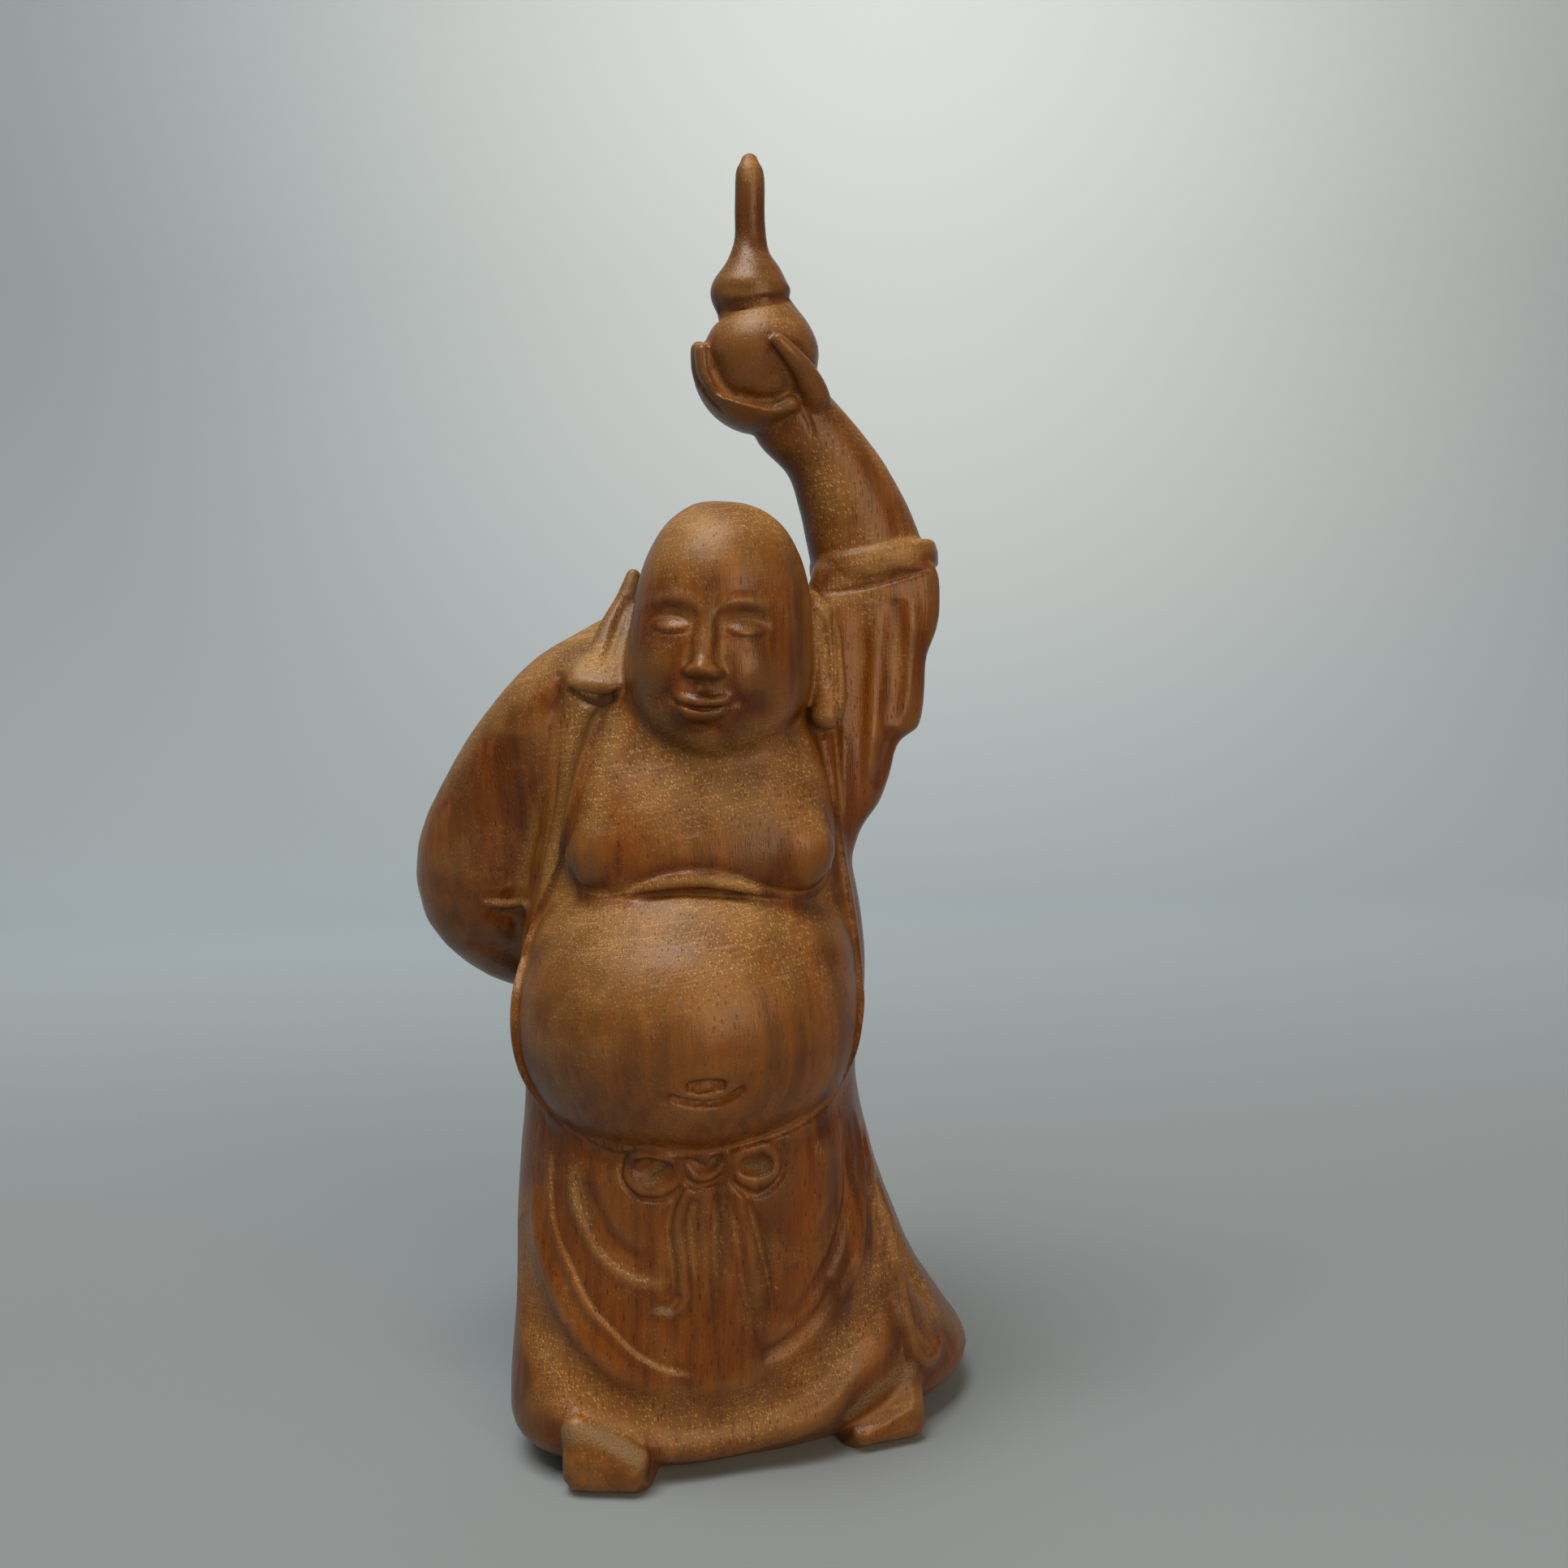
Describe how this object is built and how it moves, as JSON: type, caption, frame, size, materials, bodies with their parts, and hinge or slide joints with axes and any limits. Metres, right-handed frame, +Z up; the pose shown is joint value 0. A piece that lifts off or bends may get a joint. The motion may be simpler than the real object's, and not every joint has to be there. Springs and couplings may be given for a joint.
{
  "type": "standing figurine",
  "caption": "Carved wooden standing figure in an open robe, round bare belly, one arm behind the back and the other raised holding a gourd, on a flat base.",
  "frame": {"origin": "middle of the flat underside, on the surface that the figure stands on", "axes": "+Z up, -Y the way the figure faces, +X to the viewer's right"},
  "size_m": [0.0711, 0.0501, 0.1592],
  "materials": {
    "oiled_wood": "satin, oiled and hand polished"
  },
  "bodies": {
    "root": {"carved_figure": "oiled_wood"}
  },
  "joints": []
}
